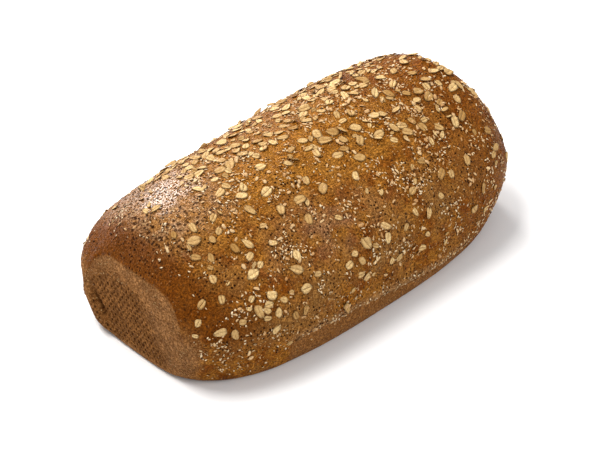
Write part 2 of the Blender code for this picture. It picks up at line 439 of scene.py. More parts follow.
# %% The same flakes as the solid's, and smaller ones between them
FLAKES = 256
FLAKE_SEED = 23
FLAKE_LONGEST = 0.0096
FLAKE_SHORTEST = 0.0064
FLAKE_NARROW = 0.57
FLAKE_BROAD = 0.76
FLAKE_GAP = 0.0052
MOST_TILT = 0.22

SMALL_FLAKES = 180
SMALL_SEED = 71
SMALL_LONGEST = 0.0066
SMALL_SHORTEST = 0.0040
SMALL_GAP = 0.0036


def flake_chance(p):
    """How likely a flake is at a point: thick on the crown, thin down the long sides, bare at the ends.

    The thick part's edge runs across the crown at a slant, and a looser cluster lies on the -Y side
    towards the near end.
    """
    x, y, z = p
    crown = smooth(0.060, 0.078, z) * smooth(-0.100, -0.062, x + 0.1 * y)
    crown = crown * smooth(-0.034, -0.010, y + 0.33 * x) * (1 - 0.6 * smooth(0.050, 0.075, y))
    crown = crown * (1 - 0.5 * smooth(0.085, 0.120, x))
    sides = 0.13 * smooth(0.018, 0.030, z) * smooth(-0.125, -0.100, x)
    cluster = 0.46 * hill(x, -0.104, 0.030) * smooth(0.034, 0.052, z)
    sides = sides + cluster * smooth(-0.008, -0.028, y + max(-0.105 - x, 0))
    patch = 0.5 + 0.5 * math.sin(62 * x + 1.3) * math.sin(75 * y + 24 * z + 0.7)
    return max(crown, sides) * (0.45 + 0.55 * patch) * (1 - smooth(0.126, 0.134, x))


def flake_seats(count, seed, longest, shortest, gap, taken=()):
    """Seats as (middle, length way, width way, normal, length, width, tilts), the largest first."""
    rng = np.random.RandomState(seed)
    turn_edges = even_turns(160)
    turn_edges = np.append(turn_edges, 2 * math.pi)
    climb_edges = np.linspace(0.3, 1.97, 61)
    corners = skin(*np.meshgrid(turn_edges, climb_edges))
    sides = np.cross(corners[1:, 1:] - corners[:-1, :-1], corners[1:, :-1] - corners[:-1, 1:])
    area = np.cumsum(np.linalg.norm(sides, axis=-1).ravel())
    seats = []
    while len(seats) < count:
        cell = int(np.searchsorted(area, rng.uniform(0, area[-1])))
        row, column = divmod(cell, len(turn_edges) - 1)
        turn = rng.uniform(turn_edges[column], turn_edges[column + 1])
        climb = rng.uniform(climb_edges[row], climb_edges[row + 1])
        chance, heading, narrow = rng.uniform(size=3)
        tilts = rng.normal(scale=MOST_TILT / 2, size=2).clip(-MOST_TILT, MOST_TILT)
        spots = skin(np.array([turn, turn + 1e-3, turn]), np.array([climb, climb, climb + 1e-3]))
        middle, ahead, above = spots
        if chance > flake_chance(middle):
            continue
        if any(np.linalg.norm(middle - seat[0]) < gap for seat in list(taken) + seats):
            continue
        ahead = (ahead - middle) / np.linalg.norm(ahead - middle)
        normal = np.cross(ahead, above - middle)
        normal = normal / np.linalg.norm(normal)
        across = np.cross(normal, ahead)
        angle = math.pi * heading
        way = ahead * math.cos(angle) + across * math.sin(angle)
        long = longest + (shortest - longest) * len(seats) / count
        broad = long * (FLAKE_NARROW + (FLAKE_BROAD - FLAKE_NARROW) * narrow)
        seats.append((middle, way, np.cross(normal, way), normal, long, broad, tilts))
    return seats


main_seats = flake_seats(FLAKES, FLAKE_SEED, FLAKE_LONGEST, FLAKE_SHORTEST, FLAKE_GAP)
small_seats = flake_seats(SMALL_FLAKES, SMALL_SEED, SMALL_LONGEST, SMALL_SHORTEST, SMALL_GAP, main_seats)
print("oat flakes:", len(main_seats), "as in the solid and", len(small_seats), "smaller")

# %% [markdown]
# ## Forms of an oat flake
#
# A rolled oat is a thin oval with a crease along it. In the oven it cups and its rim lifts. A square grid
# pressed into a disc gives the oval without a pole and with few faces, which matters for a shape that is
# used hundreds of times. The crease and the rim are marked on the points, because the finish paints both
# darker, as the shade in the groove and along the edge. A dozen variants keep neighbours from looking alike.


# %% Build the variants
def shut_away(collection_name):
    """A collection that is in the file but not in the scene, for forms that are only copied."""
    return bpy.data.collections.new(collection_name)


def kept_form(bm, name, home):
    """The form's mesh, with outward normals. The form is put in its collection."""
    bmesh.ops.recalc_face_normals(bm, faces=bm.faces)
    mesh = bpy.data.meshes.new(name)
    bm.to_mesh(mesh)
    bm.free()
    mesh.shade_smooth()
    home.objects.link(bpy.data.objects.new(name, mesh))
    return mesh


FLAKE_FORMS = 12
FLAKE_THICKNESS = 0.085
CREASE_DEPTH = 0.10
CREASE_COLUMNS = (-1.0, -0.56, -0.13, 0.0, 0.13, 0.56, 1.0)
FLAKE_ROWS = (-1.0, -0.6, -0.2, 0.2, 0.6, 1.0)


def flake_form(name, seed, home):
    """A flake one unit long and one wide, cupped, creased along its middle and thinnest at its rim."""
    rng = np.random.RandomState(seed)
    bend, twist, cup = rng.uniform(-0.03, 0.13), rng.uniform(-0.10, 0.10), rng.uniform(0.03, 0.18)
    waves, worn, blunt = rng.uniform(0, 2 * math.pi, 3), rng.uniform(0.25, 1.0), rng.uniform(-0.12, 0.12)
    last_row, last_column = len(FLAKE_ROWS) - 1, len(CREASE_COLUMNS) - 1
    bm = bmesh.new()
    marks = {}
    layers = []
    for level in (1, 0):
        layer = {}
        for i, u in enumerate(FLAKE_ROWS):
            for j, v in enumerate(CREASE_COLUMNS):
                on_rim = i in (0, last_row) or j in (0, last_column)
                if on_rim and not level:
                    layer[i, j] = layers[0][i, j]
                    continue
                a, b = u * math.sqrt(1 - v * v / 2), v * math.sqrt(1 - u * u / 2)
                angle = math.atan2(b, a)
                ragged = 1 + 0.06 * on_rim * sum(math.sin((k + 2) * angle + w) for k, w in enumerate(waves))
                b = b * (1 - 0.20 * a * a) * (1 + blunt * a)
                height = cup * (a * a * 0.5 + b * b) + bend * a * a + twist * a * b
                if level and not on_rim:
                    height += FLAKE_THICKNESS - (CREASE_DEPTH * worn if j == last_column // 2 else 0.0)
                vert = bm.verts.new((0.5 * a * ragged, 0.5 * b * ragged, height))
                layer[i, j] = vert
                marks[vert] = (worn * (level and j == last_column // 2 and not on_rim), float(on_rim))
        layers.append(layer)
    for layer in layers:
        for i in range(last_row):
            for j in range(last_column):
                bm.faces.new((layer[i, j], layer[i + 1, j], layer[i + 1, j + 1], layer[i, j + 1]))
    creases = np.array([marks[v] for v in bm.verts])
    mesh = kept_form(bm, name, home)
    keep_on_points(mesh, "crease", creases[:, 0])
    keep_on_points(mesh, "rim", creases[:, 1])


flake_forms = shut_away("flake forms")
for n in range(FLAKE_FORMS):
    flake_form(f"flake_{n}", 100 + n, flake_forms)

# %% [markdown]
# ## Forms of bran, seeds and dark grains
#
# Bran is a thin bent sliver, and the seeds are small uneven beads. Each is made as a short stack of rings
# round its long axis, squeezed to its own proportions.


# %% Slivers and beads
BEAD_FORMS = 5


def bead_form(name, seed, home, width, depth, rings=3, sides=6, uneven=0.15, bend=0.0):
    """An uneven bead one unit long, with the given width and depth, bent by a share of its length."""
    rng = np.random.RandomState(seed)
    bm = bmesh.new()
    stack = []
    for i in range(rings):
        share = (i + 1) / (rings + 1)
        radius = math.sin(math.pi * share) ** 0.7
        ring = []
        for k in range(sides):
            angle = 2 * math.pi * (k + 0.5 * (i % 2)) / sides
            r = radius * (1 + rng.uniform(-uneven, uneven))
            x = share - 0.5
            z = 0.5 * depth * r * math.sin(angle) + bend * (1 - 4 * x * x)
            ring.append(bm.verts.new((x, 0.5 * width * r * math.cos(angle), z)))
        stack.append(ring)
    for low, high in zip(stack, stack[1:]):
        for k in range(sides):
            n = (k + 1) % sides
            bm.faces.new((low[k], low[n], high[n], high[k]))
    tips = (bm.verts.new((-0.5, 0, 0)), bm.verts.new((0.5, 0, 0)))
    for tip, ring in zip(tips, (stack[0], stack[-1])):
        for k in range(sides):
            bm.faces.new((tip, ring[k], ring[(k + 1) % sides]))
    kept_form(bm, name, home)


bran_forms = shut_away("bran forms")
seed_forms = shut_away("seed forms")
grain_forms = shut_away("grain forms")
for n in range(BEAD_FORMS):
    bead_form(f"bran_{n}", 200 + n, bran_forms, 0.34 + 0.06 * n, 0.10, uneven=0.28, bend=0.05 * (n - 1))
    bead_form(f"seed_{n}", 300 + n, seed_forms, 0.36 + 0.07 * n, 0.30, rings=2, sides=5, uneven=0.18)
    bead_form(f"grain_{n}", 400 + n, grain_forms, 0.60 + 0.06 * n, 0.40, rings=2, sides=5, uneven=0.2)

# %% [markdown]
# ## Small helpers for node trees
#
# Geometry Nodes and materials are both graphs of nodes. One helper adds a node, sets its values and links
# its inputs, so that each graph below reads as a list of steps. The others wrap the steps that are used
# often.


# %% Add a node, and do sums with nodes
def add(tree, kind, inputs=None, **settings):
    """A new node. A value in inputs is either another node's output, to be linked, or a constant."""
    node = tree.nodes.new(kind)
    for name, value in settings.items():
        setattr(node, name, value)
    for key, value in (inputs or {}).items():
        socket = node.inputs[key]
        if isinstance(value, bpy.types.NodeSocket):
            tree.links.new(value, socket)
        else:
            socket.default_value = value
    return node


def calc(tree, operation, a, b=0.0):
    return add(tree, "ShaderNodeMath", {0: a, 1: b}, operation=operation).outputs[0]


def span(tree, value, low, high, to_low=0.0, to_high=1.0):
    """The value's place between low and high, with an S curve, scaled to a new span."""
    inputs = {"Value": value, "From Min": low, "From Max": high, "To Min": to_low, "To Max": to_high}
    return add(tree, "ShaderNodeMapRange", inputs, interpolation_type="SMOOTHSTEP").outputs["Result"]


def interface(tree, inputs, outputs):
    """Sockets of a node group, from lists of (name, kind, default)."""
    for way, sockets in (("INPUT", inputs), ("OUTPUT", outputs)):
        for name, kind, default in sockets:
            socket = tree.interface.new_socket(name, in_out=way, socket_type="NodeSocket" + kind)
            if default is not None:
                socket.default_value = default


def named(tree, name, data_type="FLOAT"):
    """An attribute that the geometry carries."""
    return add(tree, "GeometryNodeInputNamedAttribute", {"Name": name}, data_type=data_type).outputs[0]


def scaled(tree, vector, factor):
    return add(tree, "ShaderNodeVectorMath", {0: vector, "Scale": factor}, operation="SCALE").outputs[0]


def random_between(tree, low, high, seed, data_type="FLOAT"):
    """A random value for each point. The node has a pair of inputs and an output for each data type."""
    n = ("FLOAT_VECTOR", "FLOAT", "INT").index(data_type)
    inputs = {2 * n: low, 2 * n + 1: high, "Seed": seed}
    return add(tree, "FunctionNodeRandomValue", inputs, data_type=data_type).outputs[n]


# %% [markdown]
# ## Putting the flakes on their seats
#
# The seats become a mesh of loose points that carry each flake's turn, size and form as attributes. A
# Geometry Nodes tree then puts a copy on every point. It ends by making the copies real and giving them
# their finish.


# %% The tree that seats one form on each point
def new_tree(name, inputs):
    """A Geometry Nodes tree with the inputs that both trees share and its own, and their sockets."""
    tree = bpy.data.node_groups.new(name, "GeometryNodeTree")
    both = [("Geometry", "Geometry", None), ("Forms", "Collection", None), ("Finish", "Material", None)]
    interface(tree, both + [("Seed", "Int", 1)] + inputs, [("Geometry", "Geometry", None)])
    return tree, tree.nodes.new("NodeGroupInput").outputs


def end_tree(tree, given, points, pick, turn, size):
    """The end that both trees share: copies with a tone of their own, made real and given their finish."""
    source = {"Collection": given["Forms"], "Separate Children": True, "Reset Children": True}
    forms = add(tree, "GeometryNodeCollectionInfo", source).outputs[0]
    inputs = {"Points": points, "Instance": forms, "Pick Instance": True, "Instance Index": pick}
    inputs.update({"Rotation": turn, "Scale": size})
    copies = add(tree, "GeometryNodeInstanceOnPoints", inputs).outputs[0]
    inputs = {"Geometry": copies, "Name": "tone", "Value": random_between(tree, 0.0, 1.0, given["Seed"])}
    toned = add(tree, "GeometryNodeStoreNamedAttribute", inputs, data_type="FLOAT", domain="INSTANCE")
    real = add(tree, "GeometryNodeRealizeInstances", {"Geometry": toned.outputs[0]}).outputs[0]
    done = add(tree, "GeometryNodeSetMaterial", {"Geometry": real, "Material": given["Finish"]}).outputs[0]
    tree.links.new(done, tree.nodes.new("NodeGroupOutput").inputs[0])


def seating_tree():
    tree, given = new_tree("Seat forms on points", [])
    turn = named(tree, "turn", "FLOAT_VECTOR")
    turn = add(tree, "FunctionNodeEulerToRotation", {"Euler": turn}).outputs[0]
    points = add(tree, "GeometryNodeMeshToPoints", {"Mesh": given["Geometry"]}).outputs[0]
    end_tree(tree, given, points, named(tree, "form", "INT"), turn, named(tree, "size", "FLOAT_VECTOR"))
    return tree


def set_inputs(modifier, values):
    """Sets a modifier's inputs by their socket identifiers."""
    items = modifier.node_group.interface.items_tree
    ids = {item.name: item.identifier for item in items if item.in_out == "INPUT"}
    for name, value in values.items():
        modifier[ids[name]] = value


def made_real(helper, name):
    """The helper's evaluated mesh as a plain piece. The helper and its modifier are removed."""
    bpy.context.view_layer.update()
    evaluated = helper.evaluated_get(bpy.context.evaluated_depsgraph_get())
    mesh = bpy.data.meshes.new_from_object(evaluated)
    mesh.name = name
    helper.modifiers.clear()
    bpy.data.objects.remove(helper)
    piece = new_piece(name, mesh)
    triangles = sum(len(p.vertices) - 2 for p in mesh.polygons)
    print(f"{name}: {triangles} triangles")
    return piece


# %% Finishes are named now and filled in later
def finish(name):
    material = bpy.data.materials.new(name)
    material.use_nodes = True
    return material


crust_finish = finish("crust")
oat_finish = finish("oat flakes")
bran_finish = finish("bran slivers")
seed_finish = finish("pale seeds")
grain_finish = finish("dark grains")

# %% Turn, size and form of each flake
STANDING_SHARE = 0.11
SMALL_STANDING_SHARE = 0.35
STANDING_ABOVE = 0.06
FLAKE_SINK = 0.00005


def flake_points(seats, seed):
    """Loose points with the attributes that the seating tree reads."""
    rng = np.random.RandomState(seed)
    places, turns, sizes, forms = [], [], [], []
    for middle, way, side, normal, long, broad, tilts in seats:
        share = SMALL_STANDING_SHARE if long < FLAKE_SHORTEST else STANDING_SHARE
        stands = rng.uniform() < share and middle[2] > STANDING_ABOVE
        stand = rng.uniform(0.3, 0.75) if stands else 0.0
        lean = Matrix.Rotation(-tilts[0], 3, "Y") @ Matrix.Rotation(tilts[1] + stand, 3, "X")
        basis = Matrix([way, side, normal]).transposed() @ lean
        raise_by = 0.5 * broad * math.sin(stand) * 0.75 - FLAKE_SINK
        places.append(middle + normal * raise_by)
        turns.append(tuple(basis.to_euler()))
        sizes.append((long, broad, 0.5 * (long + broad)))
        forms.append(int(rng.randint(len(flake_forms.objects))))
    mesh = bpy.data.meshes.new("seats")
    mesh.from_pydata([tuple(p) for p in places], [], [])
    for name, vectors in (("turn", turns), ("size", sizes)):
        attribute = mesh.attributes.new(name, "FLOAT_VECTOR", "POINT")
        attribute.data.foreach_set("vector", np.array(vectors).ravel())
    mesh.attributes.new("form", "INT", "POINT").data.foreach_set("value", np.array(forms))
    return new_piece("seats", mesh)


seats_helper = flake_points(main_seats + small_seats, 5)
seating = seats_helper.modifiers.new("seating", "NODES")
seating.node_group = seating_tree()
set_inputs(seating, {"Forms": flake_forms, "Finish": oat_finish, "Seed": 3})
oat_flakes = made_real(seats_helper, "oat_flakes")

# %% [markdown]
# ## Scattering the finer toppings
#
# Bran, seeds and dark grains are too many to seat one by one. A second tree spreads points over a coarser
# copy of the crust, the bed, as thickly as an attribute on it says. That attribute is worked out here:
# toppings lie in drifts and along the ledge, a heap of chips lies low by the near end, and hardly any reach
# the ends, which the tin covered.

# %% How thickly each topping lies
BED_COLUMNS = 300
BED_WALL_RINGS = 24
BED_DOME_RINGS = 44

bed_mesh = ringed_mesh("bed", even_turns(BED_COLUMNS), climbs_for(BED_WALL_RINGS, BED_DOME_RINGS))
bed_points = vectors_of(bed_mesh.vertices, "co")
bx, by, bz = bed_points.T
drift = noise_at(bed_points, 0.016, 2, (2, 5, 8))
small_drift = noise_at(bed_points, 0.006, 1, (9, 1, 4))
bed_band, bed_lip = ledge_masks(bed_points)
bare_end = -0.116 - 0.016 * smooth(-0.045, -0.062, by)
bed_free = 1 - pressed_mask(bed_points)
sown = smooth(bare_end - 0.018, bare_end, bx) * (1 - 0.5 * smooth(0.118, 0.136, bx))
sown = sown * (1 - 0.85 * bed_band) * smooth(0.004, 0.012, bz) * bed_free
drifts = smooth(0.05, 0.60, drift + 0.9 * small_drift)
crown_share = smooth(0.055, 0.085, bz) * smooth(-0.10, -0.05, bx)
near_top = smooth(0.055, 0.075, bz) * smooth(-0.055, -0.080, bx) * smooth(-0.030, -0.012, by)
chips = 1.7 * hill(bx, -0.119, 0.011) * hill(bz, 0.024, 0.012) * smooth(-0.052, -0.060, by)
chips = chips * smooth(-0.40, 0.10, small_drift) * bed_free
seeds = sown * np.maximum(0.05 + 1.15 * drifts, 0.9 * bed_lip) * (1 - 0.3 * near_top)
bran = np.maximum((0.34 + 0.66 * crown_share) * (0.25 + 0.75 * drifts), 0.5 * bed_lip)
keep_on_points(bed_mesh, "seeds", np.maximum(seeds, chips))
keep_on_points(bed_mesh, "grains", sown * np.maximum(0.06 + 0.85 * drifts, 0.35 * near_top))
keep_on_points(bed_mesh, "bran", sown * bran)
print("bed:", len(bed_mesh.polygons), "faces")


# %% The tree that scatters forms over the bed
SPIN_SEED = 17.0
SIZE_SEED = 31.0


def scatter_tree():
    own = [("Amount", "String", "seeds")]
    own += [(name, "Float", 1.0) for name in ("Per Square Metre", "Smallest", "Largest", "Tilt", "Lift")]
    tree, given = new_tree("Scatter forms", own)
    seed = given["Seed"]
    density = calc(tree, "MULTIPLY", named(tree, given["Amount"]), given["Per Square Metre"])
    inputs = {"Mesh": given["Geometry"], "Density": density, "Seed": seed}
    spread = add(tree, "GeometryNodeDistributePointsOnFaces", inputs).outputs
    inputs = {"Geometry": spread["Points"], "Offset": scaled(tree, spread["Normal"], given["Lift"])}
    lifted = add(tree, "GeometryNodeSetPosition", inputs).outputs[0]
    least, most = (scaled(tree, corner, given["Tilt"]) for corner in ((-1, -1, 0), (1, 1, 0)))
    tilt = random_between(tree, least, most, seed, "FLOAT_VECTOR")
    spin = random_between(tree, 0.0, 2 * math.pi, calc(tree, "ADD", seed, SPIN_SEED))
    spin = add(tree, "ShaderNodeCombineXYZ", {"Z": spin}).outputs[0]
    turned = spread["Rotation"]
    for angles in (spin, tilt):
        by_angles = add(tree, "FunctionNodeEulerToRotation", {"Euler": angles}).outputs[0]
        inputs = {"Rotation": turned, "Rotate By": by_angles}
        turned = add(tree, "FunctionNodeRotateRotation", inputs, rotation_space="LOCAL").outputs[0]
    size = random_between(tree, given["Smallest"], given["Largest"], calc(tree, "ADD", seed, SIZE_SEED))
    pick = random_between(tree, 0, BEAD_FORMS - 1, seed, "INT")
    end_tree(tree, given, lifted, pick, turned, size)
    return tree


# %% Scatter bran, seeds and grains
scattering = scatter_tree()


def scattered(name, forms, amount, per_square_metre, sizes, tilt, lift, seed, material):
    helper = new_piece("bed", bed_mesh.copy())
    modifier = helper.modifiers.new("scatter", "NODES")
    modifier.node_group = scattering
    values = {"Forms": forms, "Amount": amount, "Per Square Metre": per_square_metre, "Smallest": sizes[0]}
    values.update({"Largest": sizes[1], "Tilt": tilt, "Lift": lift, "Seed": seed, "Finish": material})
    set_inputs(modifier, values)
    return made_real(helper, name)


BRAN_SIZES = (0.0018, 0.0046)
SEED_SIZES = (0.0009, 0.0025)
GRAIN_SIZES = (0.0007, 0.0017)

bran_slivers = scattered(
    "bran_slivers", bran_forms, "bran", 62000.0, BRAN_SIZES, 0.45, 0.0003, 4, bran_finish
)
pale_seeds = scattered(
    "pale_seeds", seed_forms, "seeds", 118000.0, SEED_SIZES, 0.45, 0.0002, 8, seed_finish
)
dark_grains = scattered(
    "dark_grains", grain_forms, "grains", 145000.0, GRAIN_SIZES, 0.40, 0.0001, 15, grain_finish
)
bpy.data.meshes.remove(bed_mesh)

# %% [markdown]
# ## Effects that several finishes share
#
# Baking darkens a surface unevenly, and every finish here needs that. Two node groups hold it: mottling,
# which is soft patches of two sizes, and specks, which are small hard spots. Each material gives them its
# own sizes.


# %% Colours as they look, turned into the values that shaders use
def colour(red, green, blue):
    """A colour given as it looks on a screen, 0 to 255, as linear values."""
    shares = [c / 255 for c in (red, green, blue)]
    linear = [((share + 0.055) / 1.055) ** 2.4 if share > 0.04045 else share / 12.92 for share in shares]
    return (*linear, 1.0)


def mixed(tree, share, a, b):
    """Two colours mixed by a share, which may be a mask."""
    return add(tree, "ShaderNodeMix", {0: share, 6: a, 7: b}, data_type="RGBA").outputs[2]


def mottling_group():
    tree = bpy.data.node_groups.new("Mottling", "ShaderNodeTree")
    inputs = [("Place", "Vector", None), ("Patch", "Float", 40.0), ("Fleck", "Float", 400.0)]
    interface(tree, inputs, [("Patches", "Float", None), ("Flecks", "Float", None)])
    given = tree.nodes.new("NodeGroupInput").outputs
    out = tree.nodes.new("NodeGroupOutput").inputs
    for scale, low, high, name in (("Patch", 0.36, 0.66, "Patches"), ("Fleck", 0.34, 0.68, "Flecks")):
        inputs = {"Vector": given["Place"], "Scale": given[scale], "Detail": 3.0}
        noisy = add(tree, "ShaderNodeTexNoise", inputs).outputs["Fac"]
        tree.links.new(span(tree, noisy, low, high), out[name])
    return tree


def specks_group():
    tree = bpy.data.node_groups.new("Specks", "ShaderNodeTree")
    inputs = [("Place", "Vector", None), ("Scale", "Float", 600.0), ("Share", "Float", 0.3)]
    interface(tree, inputs, [("Mask", "Float", None)])
    given = tree.nodes.new("NodeGroupInput").outputs
    cells = add(tree, "ShaderNodeTexVoronoi", {"Vector": given["Place"], "Scale": given["Scale"]}).outputs
    spot = span(tree, cells["Distance"], 0.42, 0.26)
    pick = add(tree, "ShaderNodeSeparateColor", {0: cells["Color"]}).outputs[0]
    chosen = calc(tree, "LESS_THAN", pick, given["Share"])
    tree.links.new(calc(tree, "MULTIPLY", spot, chosen), tree.nodes.new("NodeGroupOutput").inputs["Mask"])
    return tree


def shared(tree, group, inputs):
    return add(tree, "ShaderNodeGroup", inputs, node_tree=group)


mottling = mottling_group()
specks = specks_group()

# %% [markdown]
# ## The crust's finish
#
# The crown is golden brown and the sides are duller. The shoulder above each pressed end is dark and
# orange, and the ends are grey-brown, with a painted sheen round their rims and a dot of painted shade in
# every pit. The bands under the ledges are smooth, the lips over them carry a painted highlight, and bran
# specks the free crust. Nearly all of it is matt. Only the crown's bare part by the near end is rough with
# pores, which are painted dark as shade, and has a glaze that catches the light, over a painted sheen of
# paler colour.


# %% Build the crust's nodes
def base_of(material):
    """The tree, its principled shader, and the place on the object that patterns are worked out from."""
    tree = material.node_tree
    place = add(tree, "ShaderNodeTexCoord").outputs["Object"]
    return tree, tree.nodes["Principled BSDF"], place


def mask_of(tree, name):
    return add(tree, "ShaderNodeAttribute", attribute_name=name).outputs["Fac"]


GOLDEN = colour(188, 123, 45)
TOASTED = colour(142, 76, 13)
CROWN = colour(214, 145, 52)
DULL = colour(170, 120, 62)
SHOULDER = colour(128, 68, 10)
BAND = colour(166, 112, 60)
PAINTED_LIP_HIGHLIGHT = colour(190, 146, 98)
DUST = colour(174, 130, 96)
END = colour(166, 112, 60)
PAINTED_RIM_SHEEN = colour(182, 129, 79)
PAINTED_TOP_SHEEN = colour(196, 148, 100)
PAINTED_PIT_SHADE = colour(60, 27, 6)
BRAN_SPECK = colour(50, 22, 3)
FLOUR_SPECK = colour(220, 178, 120)
GRAIN_SHADE = colour(78, 38, 4)
CRUST_SPECULAR = 0.03
GLAZE_ROUGHNESS = 0.34
CRUST_GRAIN = 0.0009


def times(tree, first, *others):
    for other in others:
        first = calc(tree, "MULTIPLY", first, other)
    return first


def pit_rows(tree, across, up):
    """Staggered rows of round dots, from the same two cosines as the relief's, for each pit's bump and
    painted shade.
    """
    waves = [
        calc(tree, "COSINE", calc(tree, "MULTIPLY", way, 2 * math.pi / pitch))
        for way, pitch in ((across, PIT_ACROSS), (up, PIT_UP))
    ]
    return span(tree, times(tree, *waves), 0.15, 0.90)


tree, shader, place = base_of(crust_finish)
parts = add(tree, "ShaderNodeSeparateXYZ", {0: place}).outputs
mark = {name: mask_of(tree, name) for name in marks}
soft = shared(tree, mottling, {"Place": place, "Patch": 42.0, "Fleck": 300.0}).outputs
fine = shared(tree, mottling, {"Place": place, "Patch": 120.0, "Fleck": 850.0}).outputs
dark, pale, pores = (
    shared(tree, specks, {"Place": place, "Scale": scale, "Share": share}).outputs["Mask"]
    for scale, share in ((500.0, 0.34), (640.0, 0.22), (380.0, 0.60))
)
tin_smooth = calc(tree, "MAXIMUM", mark["band"], mark["pressed"])
dark = times(tree, dark, span(tree, tin_smooth, 0.0, 1.0, 1.0, 0.35))
# The rough top by the near end. Its colour gets a paler painted sheen, and painted shade in its pores.
rough_sheen_top = times(
    tree,
    span(tree, parts["Z"], 0.060, 0.076),
    span(tree, parts["X"], -0.055, -0.082),
    span(tree, parts["Y"], -0.034, -0.012),
)
low_down = times(
    tree, span(tree, parts["Z"], 0.088, 0.050, 0.35, 1.0), span(tree, parts["Z"], 0.012, 0.045, 0.5, 1.0)
)
crown = times(tree, span(tree, parts["Z"], 0.078, 0.091), span(tree, parts["X"], 0.080, 0.0, 0.0, 0.42))
# Painted sheen: each pressed end is paler round its rim, outside the pitted part.
end_tint_with_rim_sheen = mixed(tree, mark["pit_zone"], PAINTED_RIM_SHEEN, END)
end_tint_with_rim_sheen = mixed(tree, times(tree, fine["Patches"], 0.35), end_tint_with_rim_sheen, BRAN_SPECK)
bran = times(tree, dark, span(tree, soft["Patches"], 0.0, 1.0, 0.50, 1.0))
floury = times(tree, pale, span(tree, fine["Patches"], 0.2, 1.0, 0.1, 0.6))
floury = times(tree, floury, span(tree, mark["shoulder"], 0.2, 0.9, 1.0, 0.4))
pit = times(tree, pit_rows(tree, parts["Y"], parts["Z"]), mark["pit_zone"])
pit = times(tree, pit, span(tree, soft["Flecks"], 0.0, 0.7, 0.30, 1.0))

tint = GOLDEN
for share, over in (
    (fine["Patches"], TOASTED),
    (times(tree, soft["Patches"], low_down, 0.9), DULL),
    (crown, CROWN),
    (times(tree, span(tree, parts["X"], 0.04, 0.11), 0.60), TOASTED),
    # Painted sheen: the rough top is mixed towards a paler tan.
    (times(tree, rough_sheen_top, span(tree, fine["Patches"], 0.0, 1.0, 0.25, 0.8)), PAINTED_TOP_SHEEN),
    (times(tree, mark["shoulder"], 0.9), SHOULDER),
    (times(tree, mark["dusty"], 0.6), DUST),
    # Painted highlight: the lip over each ledge is mixed paler.
    (times(tree, mark["lip"], 0.65), PAINTED_LIP_HIGHLIGHT),
    (times(tree, mark["band"], 0.9), BAND),
    (mark["pressed"], end_tint_with_rim_sheen),
    (times(tree, fine["Flecks"], 0.70), GRAIN_SHADE),
    (bran, BRAN_SPECK),
    (floury, FLOUR_SPECK),
    # Painted shade: dark in the rough top's pores, in every pit on the ends and along the fold's crease.
    (times(tree, pores, rough_sheen_top, 0.8), PAINTED_PIT_SHADE),
    (times(tree, pit, 0.78), PAINTED_PIT_SHADE),
    (times(tree, mark["fold"], 0.9), PAINTED_PIT_SHADE),
):
    tint = mixed(tree, share, tint, over)
tree.links.new(tint, shader.inputs["Base Color"])

rough = span(tree, soft["Flecks"], 0.0, 1.0, 0.42, 0.62)
rough = calc(tree, "ADD", rough, times(tree, mark["pressed"], 0.25))
tree.links.new(rough, shader.inputs["Roughness"])
shader.inputs["Specular IOR Level"].default_value = CRUST_SPECULAR
shader.inputs["Coat Roughness"].default_value = GLAZE_ROUGHNESS
glaze = times(
    tree,
    span(tree, parts["Z"], 0.052, 0.072),
    span(tree, parts["X"], -0.058, -0.085),
    span(tree, parts["Y"], -0.018, 0.010),
    span(tree, parts["X"], -0.136, -0.112, 0.25, 1.0),
    0.57,
)
glaze = calc(tree, "ADD", span(tree, parts["Z"], 0.060, 0.085, 0.0, 0.08), glaze)
glaze = times(tree, glaze, span(tree, fine["Flecks"], 0.25, 0.75, 1.0, 0.0))
unglazed = calc(tree, "MAXIMUM", dark, pores)
tree.links.new(times(tree, glaze, span(tree, unglazed, 0.1, 0.7, 1.0, 0.1)), shader.inputs["Coat Weight"])
height = calc(tree, "ADD", fine["Flecks"], times(tree, soft["Flecks"], 0.8))
for dip, depth in ((dark, 0.8), (times(tree, pores, rough_sheen_top), 1.6), (pit, 1.6)):
    height = calc(tree, "SUBTRACT", height, times(tree, dip, depth))
height = calc(tree, "ADD", height, times(tree, pale, 0.6))
bump = add(tree, "ShaderNodeBump", {"Strength": 1.0, "Distance": CRUST_GRAIN, "Height": height})
tree.links.new(bump.outputs[0], shader.inputs["Normal"])
print("crust finish:", len(tree.nodes), "nodes")

# %% [markdown]
# ## The toppings' finishes
#
# Every copy of a topping carries a tone of its own, so some flakes are paler and some are more toasted. A
# low noise over the loaf makes neighbours alike, as they are where the oven was hotter.


# %% One builder for all toppings
TOPPING_SPECULAR = 0.12


def topping(material, pale_side, toasted_side, roughness, fleck_scale, fleck_colour, fleck_share):
    tree, shader, place = base_of(material)
    tone = mask_of(tree, "tone")
    patches = shared(tree, mottling, {"Place": place, "Patch": 60.0, "Fleck": fleck_scale}).outputs
    share = calc(tree, "ADD", times(tree, tone, 0.65), times(tree, patches["Patches"], 0.35))
    tint = mixed(tree, share, pale_side, toasted_side)
    tint = mixed(tree, times(tree, patches["Flecks"], fleck_share), tint, fleck_colour)
    shader.inputs["Roughness"].default_value = roughness
    shader.inputs["Specular IOR Level"].default_value = TOPPING_SPECULAR
    bump = add(tree, "ShaderNodeBump", {"Strength": 0.4, "Distance": 0.0002, "Height": patches["Flecks"]})
    tree.links.new(bump.outputs[0], shader.inputs["Normal"])
    return tree, shader, tint


PAINTED_FLAKE_SHADE = colour(112, 66, 24)
tree, shader, tint = topping(
    oat_finish, colour(238, 206, 146), colour(168, 126, 66), 0.6, 900.0, colour(140, 92, 40), 0.5
)
